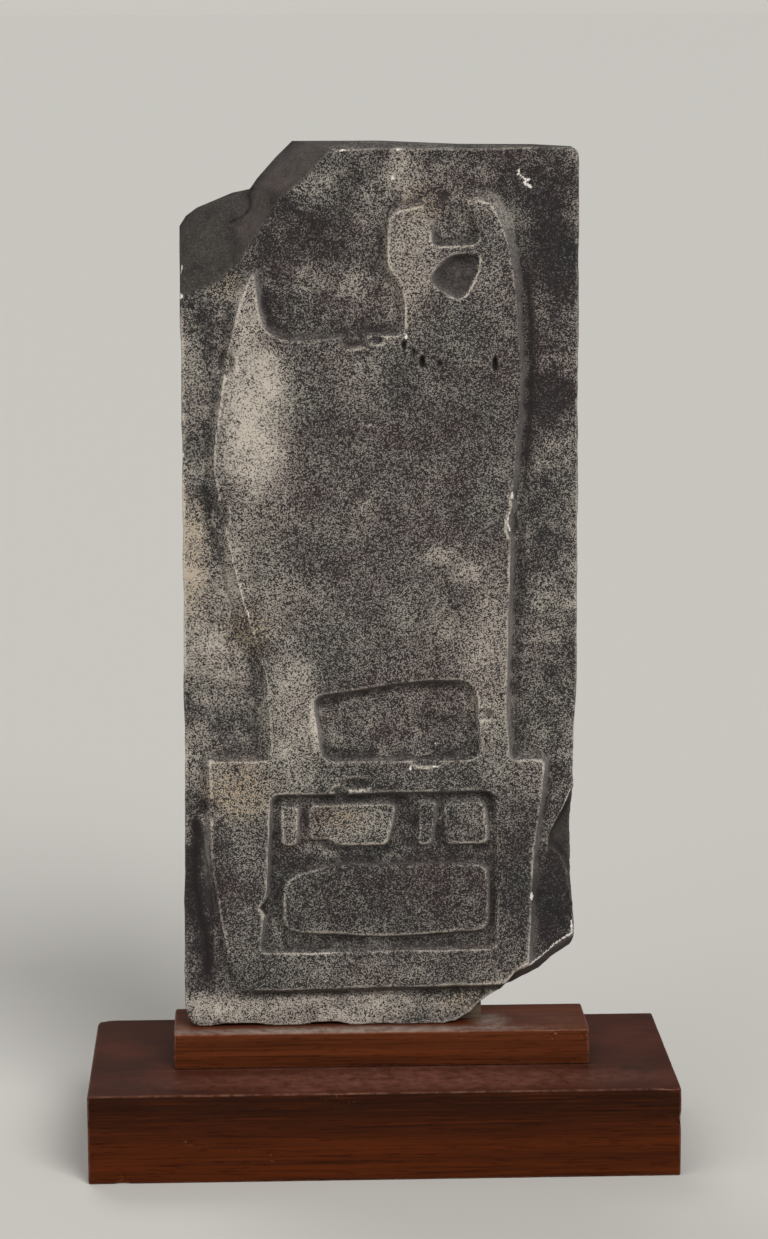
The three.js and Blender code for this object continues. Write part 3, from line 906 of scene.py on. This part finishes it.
def cut_marks(points, across, up, front):
    """Cuts the dents, pits, bites and cracks into the face."""
    dents = blotches(across, up, DENTS) + blotches(across, up, PITS)
    points[:, 1] += front * dents * MM
    for tip_x, tip_up, reach, half_height, level in BITES.values():
        opening = half_height * (across - tip_x) / reach - np.abs(up - tip_up)
        share = smooth_step(opening, 0, 1) * (across < tip_x + reach)
        points[:, 1] += share * np.maximum(level - slab_places(points)[2], 0) * MM
    for half_width, depth, path in CRACKS.values():
        points[:, 1] += front * streak(across, up, half_width, path) * depth * MM


def weather(mesh):
    """Wears the fine skin of the slab: wavering outlines, a lumpy ground, rough breaks, bites and pits."""
    normals = points_of(mesh, "normal")
    points = softened(points_of(mesh), normals, edges_of(mesh))
    across, up, inward = slab_places(points)
    front = smooth_step(-normals[:, 1], *FACE_TURN)
    broken = break_share(across, up, inward, normals)
    ground = front * smooth_step(inward, *GROUND_LEVEL) * (1 - broken)
    rise = front * humps(points, FACE_HUMPS)
    rise += ground * humps(points, GROUND_HUMPS)
    rise += broken * humps(points, BREAK_HUMPS)
    rise += (1 - front) * (1 - broken) * humps(points, SIDE_HUMPS)
    points += normals * rise[:, None] * MM
    inward = wear_slopes(points, across, up, inward, front)
    raise_top(points, across, up, inward)
    cut_marks(points, across, up, front)
    points[:, 0] += humps(points, WAVER_ACROSS) * MM
    points[:, 2] += humps(points, WAVER_UP) * MM
    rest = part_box("upper_plinth")[1].z
    points[:, 2] = np.maximum(points[:, 2], rest + FOOT_GAP * MM)
    set_points(mesh, points)
    keep(mesh, "broken", broken)


class Skin:
    """The slab's fine mesh, with each point's place, and how far it faces the front and is worn soft."""

    def __init__(self, mesh):
        self.points = points_of(mesh)
        self.normals = points_of(mesh, "normal")
        self.edges = edges_of(mesh)
        self.across, self.up, self.inward = slab_places(self.points)
        self.front = smooth_step(-self.normals[:, 1], *MARKED_TURN)
        self.soft = soft_share(self.across, self.up)

    def bulge(self, rounds):
        """How far each point stands out from its evened neighbours, in mm."""
        return ((self.points - evened(self.points, self.edges, rounds)) * self.normals).sum(1) / MM


def rubbed_edges(skin):
    """How pale each point is rubbed: the carved edges, more along some lines and less along others."""
    across, up, inward = skin.across, skin.up, skin.inward
    foot_x, foot_up = np.array(BREAK_LINE, float).T
    off_break = 1 - smooth_step(up - np.interp(across, foot_x, foot_up), *BREAK_MARGIN)
    outer = np.maximum(smooth_step(np.abs(across), *SIDE_MARGIN), smooth_step(up, *TOP_MARGIN))
    edge = np.clip(skin.bulge(FINE_ROUNDS) / RUBBED_BULGE - RUB_START, 0, 1)
    worn = edge * skin.front * off_break * (1 - OUTER_LOSS * outer)
    # Below the face only edges that look down are rubbed much, and on the face those are rubbed less
    inner = smooth_step(inward, *CARVED_LEVEL) * (1 - outer)
    downward = np.clip(-DOWNWARD_GAIN * skin.normals[:, 2], 0, 1)
    worn *= inner * (SUNK_RUB + SUNK_GAIN * downward) + (1 - inner) * (1 - FACE_LOSS * downward)
    worn *= np.clip(RUB_SHARE + humps(skin.points, RUB_CHANGE), RUB_LEAST, 1)
    for x, z, half_width, half_height, _ in PITS.values():
        worn *= 1 - spot(across, up, (x, z, half_width + PIT_MARGIN, half_height + PIT_MARGIN))
    for half_width, _, path in CRACKS.values():
        worn *= 1 - streak(across, up, half_width + CRACK_MARGIN, path)
    worn *= 1 - skin.soft
    for half_width, amount, path in RUBBED_LINES.values():
        rub = amount * streak(across, up, half_width, path)
        worn = np.clip(worn + rub * skin.front * (inward < BREAK_DEPTH), 0, 1)
    return worn


def dirt_and_shade(skin, eye):
    """How dark each point is painted: shade in hollows, pits, cracks and the eye, and dirt with shade along
    the foot of edges.
    """
    across, up, inward = skin.across, skin.up, skin.inward
    # Hollows deeper than their surroundings are painted dark as shade
    hollow = np.clip(-skin.bulge(BROAD_ROUNDS) / SHADED_HOLLOW - HOLLOW_START, 0, 1) * skin.front
    for reach, path in WORN_SLOPES.values():
        hollow *= 1 - SLOPE_SHADE_LOSS * streak(across, up, reach + SLOPE_MARGIN, path)
    rim_x, rim_z = PIT_RIM
    # Pits are painted dark as shade
    for x, z, half_width, half_height, _ in PITS.values():
        dark = PIT_SHADE * spot(across, up, (x, z, half_width + rim_x, half_height + rim_z))
        hollow = np.maximum(hollow, np.clip(dark, 0, MOST_PIT_SHADE) * (inward < BREAK_DEPTH))
    # Cracks are painted dark as shade, deeper ones darker
    for half_width, depth, path in CRACKS.values():
        dark = min(CRACK_SHADE * depth, 1) * streak(across, up, half_width, path)
        hollow = np.maximum(hollow, dark * (skin.normals[:, 1] < BACKWARD))
    # Dirt with painted shade along the feet of edges and in the groove
    for half_width, amount, path in DIRT_AND_SHADE_LINES.values():
        dark = amount * streak(across, up, half_width, path)
        hollow = np.maximum(hollow, dark * (inward < FINE_DEPTH))
    # The eye's floor is darkened, with painted shade at its left and top
    eye_darkening = EYE_DARKENING + blotches(across, up, EYE_SHADE)
    return np.maximum(hollow * (1 - EYE_LESS_DARKENING * eye), eye_darkening * eye)


def smooth_walls(skin, eye, groove_side):
    """How much of each point is a smooth carved wall, the eye's floor or the side of the groove."""
    slope = smooth_step(1 + skin.normals[:, 1], *WALL_TURN)
    away_from_sky = 1 - SKYWARD_LOSS * np.clip(skin.normals[:, 2], 0, 1)
    rightward = smooth_step(skin.normals[:, 0], *WALL_SIDE)
    wall = slope * (skin.inward < WALL_DEPTH) * skin.front * away_from_sky * rightward
    return np.maximum.reduce([wall * (1 - skin.soft), eye, groove_side])


def fresh_chips(skin):
    """Where the stone has been chipped white, on the face and a little way round its edges."""
    fresh = sum(spot(skin.across, skin.up, oval) for oval in FRESH_CHIPS.values())
    for half_width, path in FRESH_LINES.values():
        fresh += streak(skin.across, skin.up, half_width, path)
    open_face = (skin.normals[:, 1] < OPEN_FACE) * (1 - smooth_step(skin.inward, *OPEN_DEPTH))
    return np.clip(fresh, 0, 1) * np.maximum(open_face, 1 - smooth_step(skin.inward, *CHIP_DEPTH))


def mark_stone(mesh):
    """Keeps on the mesh where its material changes, and tells which points have to stay crisp."""
    skin = Skin(mesh)
    across, up, inward = skin.across, skin.up, skin.inward
    stray_across = across + humps(skin.points, STRAY_ACROSS)
    stray_up = up + humps(skin.points, STRAY_UP)
    stained_and_shaded = blotches(stray_across, stray_up, STAINS)
    stained_and_shaded += smooth_step(inward, *CLOUD_LEVEL) * humps(skin.points, GROUND_CLOUDS)
    # Soot on the darkest stains, which deepens the painted shade in the groove too
    soot_and_shade = np.clip(-SOOT_AND_SHADE_GAIN * stained_and_shaded - SOOT_AND_SHADE_START, 0, MOST_SOOT_AND_SHADE) * skin.front
    eye = spot(across, up, EYE_FLOOR) * smooth_step(inward, *EYE_LEVEL)
    half_width, amount, path = GROOVE_SIDE
    groove_side = amount * streak(across, up, half_width, path) * (inward < FINE_DEPTH)
    worn = rubbed_edges(skin)
    hollow = dirt_and_shade(skin, eye)
    wall = smooth_walls(skin, eye, groove_side)
    fresh = fresh_chips(skin)
    keep(mesh, "worn", worn)
    keep(mesh, "wall", wall)
    # Walls that face right are painted paler as lit stone; the groove's smooth side is pale too
    keep(mesh, "lit_and_smooth", np.maximum(smooth_step(skin.normals[:, 0], *LIT_SIDE), groove_side))
    facet = sum(share * streak(across, up, reach, line) for reach, share, line in FACETS.values())
    keep(mesh, "facet", facet)
    keep(mesh, "stains_and_shade", np.where(inward < FINE_DEPTH, stained_and_shaded, BACK_STAIN))
    # The hollow mark holds painted shade, dirt and soot
    keep(mesh, "hollow", np.maximum(hollow, soot_and_shade))
    keep(mesh, "ochre", np.clip(blotches(stray_across, stray_up, OCHRE), 0, 1))
    keep(mesh, "fresh", fresh)
    return np.maximum.reduce([worn, hollow, wall, fresh]) > CRISP


def carved_slab(material):
    """The stone: a fine skin over the carved solid, weathered, then thinned where it is plain."""
    mesh = mesh_from(merged_copy("stele_slab"), "carved_slab")
    slab = new_piece("carved_slab", mesh, material)
    fine = slab.modifiers.new("fine skin", "REMESH")
    fine.mode = "VOXEL"
    fine.voxel_size = SKIN * MM
    settle(slab)
    fill_flake(slab.data)
    weather(slab.data)
    crisp = mark_stone(slab.data)
    inward = slab_places(points_of(slab.data))[2]
    plain = slab.vertex_groups.new(name="plain")
    plain.add(np.flatnonzero((inward < FINE_DEPTH) & ~crisp).tolist(), PLAIN_FACE, "REPLACE")
    plain.add(np.flatnonzero((inward >= FINE_DEPTH) & ~crisp).tolist(), PLAIN_BACK, "REPLACE")
    thin = slab.modifiers.new("thinned skin", "DECIMATE")
    thin.vertex_group = plain.name
    faces = sum(len(p.vertices) - 2 for p in slab.data.polygons)
    thin.ratio = SLAB_TRIANGLES / faces
    settle(slab)
    slab.vertex_groups.clear()
    slab.data.shade_smooth()
    return slab


# The plinth, the peg and the floor

def worn_board(name, solid, knocks, dust, material):
    """A planed board with eased, rubbed arrises and a few knocks."""
    low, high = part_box(solid)
    bm = bmesh.new()
    bmesh.ops.create_cube(bm, size=1.0)
    bmesh.ops.scale(bm, vec=high - low, verts=bm.verts)
    bmesh.ops.translate(bm, vec=(low + high) / 2, verts=bm.verts)
    bmesh.ops.bevel(
        bm, geom=bm.edges[:], offset=BOARD_EASE * MM, offset_type="OFFSET", segments=3, profile=0.5,
        affect="EDGES", material=-1,
    )
    for axis in range(3):
        across = Vector((0, 0, 0))
        across[axis] = 1
        span = high[axis] - low[axis]
        count = round(span / (BOARD_CELL * MM))
        for step in range(1, count):
            point = low.copy()
            point[axis] += span * step / count
            geom = bm.verts[:] + bm.edges[:] + bm.faces[:]
            bmesh.ops.bisect_plane(bm, geom=geom, dist=0.01 * MM, plane_co=point, plane_no=across)
    mesh = mesh_from(bm, name)
    points = points_of(mesh)
    normals = points_of(mesh, "normal")
    arris = smooth_step(1 - np.abs(normals).max(1), *ARRIS_TURN)
    dent = arris * np.clip(humps(points, ARRIS_CHANGE) + ARRIS_SHARE, 0, 1) * ARRIS_WEAR
    knocked = np.zeros(len(points))
    for x, y, z, reach, depth in knocks.values():
        near = np.exp(-2 * (((points / MM - (x, y, z)) ** 2).sum(1) / reach ** 2))
        knocked = np.maximum(knocked, near)
        dent += near * depth
    points -= normals * dent[:, None] * MM
    points[:, 2] = np.clip(points[:, 2], low.z, high.z)
    set_points(mesh, points)
    keep(mesh, "worn", np.clip(arris * (ARRIS_RUB + knocked), 0, 1))
    keep(mesh, "nicked", knocked)
    top = smooth_step(normals[:, 2], *TOP_TURN)
    keep(mesh, "dusty", top * blotches(points[:, 0] / MM, points[:, 1] / MM, dust))
    mesh.shade_smooth()
    return new_piece(name, mesh, material)


def prop_peg(material):
    """The small block under the broken corner, its edges just broken with sandpaper."""
    bm = merged_copy("support_peg")
    bmesh.ops.dissolve_limit(bm, angle_limit=math.radians(2), verts=bm.verts, edges=bm.edges)
    bmesh.ops.bevel(
        bm, geom=bm.edges[:], offset=PEG_EASE * MM, offset_type="OFFSET", segments=2, profile=0.5,
        affect="EDGES", material=-1,
    )
    return new_piece("prop_peg", mesh_from(bm, "prop_peg"), material)


def pale_floor(material):
    """A wide floor that rises a little far off, so that no horizon shows."""
    bm = bmesh.new()
    bmesh.ops.create_grid(bm, x_segments=1, y_segments=1, size=FLOOR_HALF)
    rim = bmesh.ops.extrude_edge_only(bm, edges=bm.edges)["geom"]
    rim_corners = [part for part in rim if isinstance(part, bmesh.types.BMVert)]
    bmesh.ops.scale(bm, vec=(FLOOR_SPREAD, FLOOR_SPREAD, 1), verts=rim_corners)
    bmesh.ops.translate(bm, vec=(0, 0, FLOOR_RISE), verts=rim_corners)
    return new_piece("floor", mesh_from(bm, "floor"), material)


# The studio

def place_camera():
    data = bpy.data.cameras.new("photograph")
    data.sensor_width = SENSOR
    data.lens = LENS
    data.clip_end = 1000
    camera = bpy.data.objects.new("photograph", data)
    bpy.context.scene.collection.objects.link(camera)
    turn = Matrix.Rotation(math.radians(EYE_TURN), 4, "Z")
    tilt = Matrix.Rotation(math.radians(EYE_TILT), 4, "X")
    roll = Matrix.Rotation(math.radians(EYE_ROLL), 4, "Y")
    level = Matrix.Rotation(math.radians(90), 4, "X")
    camera.matrix_world = Matrix.Translation(Vector(EYE_POINT) * MM) @ turn @ tilt @ roll @ level
    bpy.context.scene.camera = camera


def far_light(name, turn, height, softness, power):
    """A large light far off: its turn to the right of the slab's face and its height, in degrees."""
    data = bpy.data.lights.new(name, "SUN")
    data.angle = math.radians(softness)
    data.energy = power
    light = bpy.data.objects.new(name, data)
    light.rotation_euler = (math.radians(90 - height), 0, math.radians(turn))
    bpy.context.scene.collection.objects.link(light)


def light_studio():
    world = bpy.data.worlds.new("pale studio")
    world.use_nodes = True
    surround = world.node_tree.nodes["Background"].inputs
    surround["Color"].default_value = srgb("#e4e3e1")
    surround["Strength"].default_value = 0.3
    scene = bpy.context.scene
    scene.world = world
    scene.view_settings.view_transform = "Standard"
    far_light("key", turn=26, height=40, softness=30, power=2.14)
    far_light("fill", turn=-50, height=32, softness=50, power=0.65)
    far_light("back", turn=200, height=50, softness=30, power=0.6)


# The pieces

place_camera()
light_studio()

slab = carved_slab(weathered_marble())
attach(slab, "root")
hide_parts("stele_slab")

lower_wood = waxed_mahogany(
    "waxed_mahogany_block", dark="#2c150b", brown="#3c1a0a", orange="#58260c", dust_colour="#845547",
    pith=(0, 40, -70), dark_band=(15, 38),
)
lower = worn_board("plinth_block", "lower_plinth", LOWER_KNOCKS, LOWER_DUST, lower_wood)
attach(lower, "root")
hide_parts("lower_plinth")

upper_wood = waxed_mahogany(
    "waxed_mahogany_step", dark="#482414", brown="#502714", orange="#663319", dust_colour="#ab9b8e",
    pith=(0, -30, 150), dark_band=(60, 90),
)
upper = worn_board("plinth_step", "upper_plinth", UPPER_KNOCKS, UPPER_DUST, upper_wood)
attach(upper, "root")
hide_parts("upper_plinth")

# The peg is a plain sawn hardwood with the same figure in dull grey browns
peg_wood = waxed_mahogany(
    "sawn_hardwood_peg", dark="#51443a", brown="#5d4f43", orange="#6f5f4f", dust_colour="#8a7a6c",
    pith=(60, 20, 40), dark_band=(90, 120),
)
peg = prop_peg(peg_wood)
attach(peg, "root")
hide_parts("support_peg")

floor = pale_floor(matt_floor_paint())
